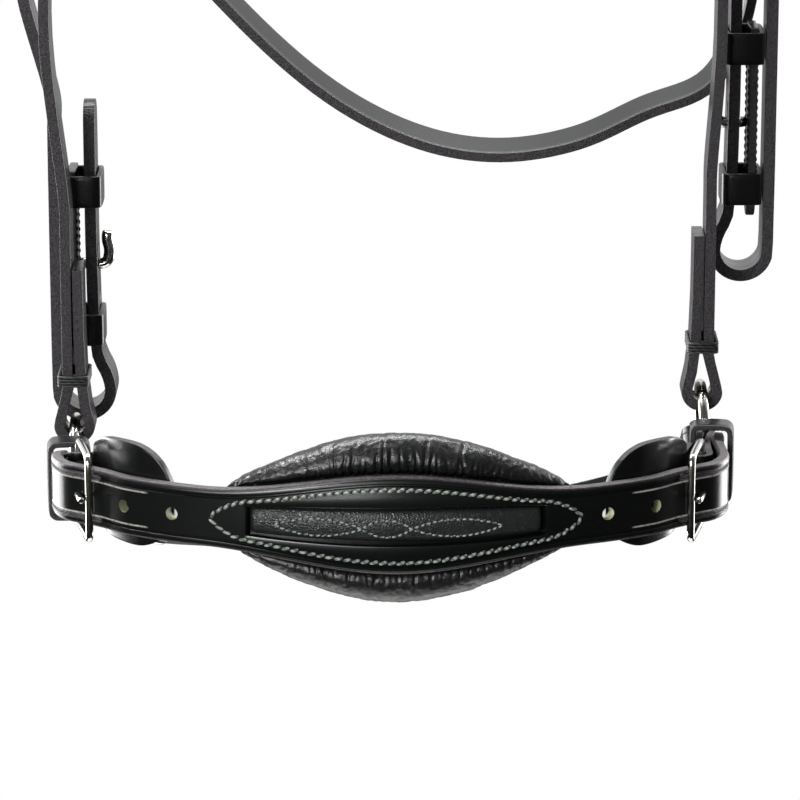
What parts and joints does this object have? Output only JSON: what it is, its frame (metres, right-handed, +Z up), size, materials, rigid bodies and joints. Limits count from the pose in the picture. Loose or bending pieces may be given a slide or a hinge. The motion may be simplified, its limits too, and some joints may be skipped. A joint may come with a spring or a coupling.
{
  "type": "drop noseband bridle",
  "caption": "Black leather bridle with a padded drop noseband on rings, hook stud cheekpieces, browband and throatlash.",
  "frame": {"origin": "middle of the crown pad's flat underside, where the bridle rests on the poll", "axes": "+Z up, -Y towards the front of the head, -X to the left of the bridle as seen from the front"},
  "size_m": [0.2755, 0.1672, 0.4965],
  "materials": {
    "leather_black": "smooth black bridle leather, waxed, with darker creased edges",
    "soft_leather_black": "soft fine-grained black leather over padding",
    "thread_black": "waxed black thread, close wound",
    "steel": "polished stainless steel"
  },
  "bodies": {
    "headpiece": {"cheek_buckle_left": "steel", "cheek_buckle_right": "steel", "cheek_keeper_left": "leather_black", "cheek_keeper_right": "leather_black", "cheek_strap_left": "leather_black", "cheek_strap_right": "leather_black", "crown_pad": "soft_leather_black", "crown_strap": "leather_black", "hook_lower_keeper_left": "leather_black", "hook_lower_keeper_right": "leather_black", "hook_patch_left": "leather_black", "hook_patch_right": "leather_black", "hook_stud_left": "steel", "hook_stud_right": "steel", "hook_upper_keeper_left": "leather_black", "hook_upper_keeper_right": "leather_black", "ring_binding_left": "thread_black", "ring_binding_right": "thread_black", "sliphead_buckle": "steel", "sliphead_cheek": "leather_black", "sliphead_keeper": "leather_black", "sliphead_strap": "leather_black", "throat_buckle_left": "steel", "throat_buckle_right": "steel", "throat_keeper_left": "leather_black", "throat_keeper_right": "leather_black", "throatlash_strap": "leather_black"},
    "noseband": {"adjuster_buckle_left": "steel", "adjuster_buckle_right": "steel", "adjuster_chape_left": "leather_black", "adjuster_chape_right": "leather_black", "adjuster_keeper_left": "leather_black", "adjuster_keeper_right": "leather_black", "adjuster_safe_left": "leather_black", "adjuster_safe_right": "leather_black", "nose_pad": "soft_leather_black", "nosepiece_inlay": "soft_leather_black", "nosepiece_lining": "leather_black", "nosepiece_strap": "leather_black"},
    "chin_strap": {"chin_strap": "leather_black", "chin_chape": "leather_black", "chin_buckle": "steel", "chin_keeper": "leather_black"},
    "browband": {"browband": "leather_black"},
    "ring_left": {"ring_left": "steel"},
    "ring_right": {"ring_right": "steel"},
    "sliphead_runner": {"sliphead_runner": "leather_black"},
    "cheek_runner_left": {"cheek_runner_left": "leather_black"},
    "cheek_runner_right": {"cheek_runner_right": "leather_black"},
    "adjuster_tongue_left": {"adjuster_tongue_left": "steel"},
    "adjuster_tongue_right": {"adjuster_tongue_right": "steel"},
    "cheek_tongue_left": {"cheek_tongue_left": "steel"},
    "cheek_tongue_right": {"cheek_tongue_right": "steel"},
    "throat_tongue_left": {"throat_tongue_left": "steel"},
    "throat_tongue_right": {"throat_tongue_right": "steel"},
    "sliphead_tongue": {"sliphead_tongue": "steel"},
    "chin_tongue": {"chin_tongue": "steel"}
  },
  "joints": [
    {"name": "noseband_tilt", "type": "hinge", "parent": "headpiece", "child": "noseband", "pos_m": [0, -0.018, -0.431], "axis": [0.9985, 0, 0.0555], "range_deg": [-20, 12]},
    {"name": "chin_strap_swing", "type": "hinge", "parent": "headpiece", "child": "chin_strap", "pos_m": [0, -0.018, -0.431], "axis": [0.9985, 0, 0.0555], "range_deg": [-18, 15]},
    {"name": "ring_spin_left", "type": "hinge", "parent": "headpiece", "child": "ring_left", "pos_m": [-0.108, -0.018, -0.437], "axis": [0.9985, 0, 0.0555], "continuous": true},
    {"name": "ring_spin_right", "type": "hinge", "parent": "headpiece", "child": "ring_right", "pos_m": [0.108, -0.018, -0.425], "axis": [0.9985, 0, 0.0555], "continuous": true},
    {"name": "browband_slide", "type": "slide", "parent": "headpiece", "child": "browband", "axis": [0, 0, 1], "range_m": [-0.0015, 0.004]},
    {"name": "sliphead_runner_slide", "type": "slide", "parent": "headpiece", "child": "sliphead_runner", "axis": [0, 0, 1], "range_m": [-0.004, 0.005]},
    {"name": "cheek_runner_left_slide", "type": "slide", "parent": "headpiece", "child": "cheek_runner_left", "axis": [0, 0, 1], "range_m": [-0.004, 0.005]},
    {"name": "cheek_runner_right_slide", "type": "slide", "parent": "headpiece", "child": "cheek_runner_right", "axis": [0, 0, 1], "range_m": [-0.004, 0.005]},
    {"name": "adjuster_tongue_left_lift", "type": "hinge", "parent": "noseband", "child": "adjuster_tongue_left", "pos_m": [-0.10458, -0.06452, -0.43], "axis": [0, 0, -1], "range_deg": [0, 6]},
    {"name": "adjuster_tongue_right_lift", "type": "hinge", "parent": "noseband", "child": "adjuster_tongue_right", "pos_m": [0.10458, -0.06452, -0.43], "axis": [0, 0, 1], "range_deg": [0, 6]},
    {"name": "cheek_tongue_left_lift", "type": "hinge", "parent": "headpiece", "child": "cheek_tongue_left", "pos_m": [-0.12485, 0.005, -0.228], "axis": [0, -1, 0], "range_deg": [0, 6]},
    {"name": "cheek_tongue_right_lift", "type": "hinge", "parent": "headpiece", "child": "cheek_tongue_right", "pos_m": [0.12835, 0.005, -0.178], "axis": [0, 1, 0], "range_deg": [0, 6]},
    {"name": "throat_tongue_left_lift", "type": "hinge", "parent": "headpiece", "child": "throat_tongue_left", "pos_m": [-0.106, 0.023, -0.141], "axis": [0, -1, 0], "range_deg": [0, 6]},
    {"name": "throat_tongue_right_lift", "type": "hinge", "parent": "headpiece", "child": "throat_tongue_right", "pos_m": [0.106, 0.023, -0.141], "axis": [0, 1, 0], "range_deg": [0, 6]},
    {"name": "sliphead_tongue_lift", "type": "hinge", "parent": "headpiece", "child": "sliphead_tongue", "pos_m": [-0.108, -0.018, -0.16], "axis": [0, -1, 0], "range_deg": [0, 6]},
    {"name": "chin_tongue_lift", "type": "hinge", "parent": "chin_strap", "child": "chin_tongue", "pos_m": [-0.09552, 0.01558, -0.46259], "axis": [0.0437, -0.6157, -0.7868], "range_deg": [0, 6]}
  ]
}
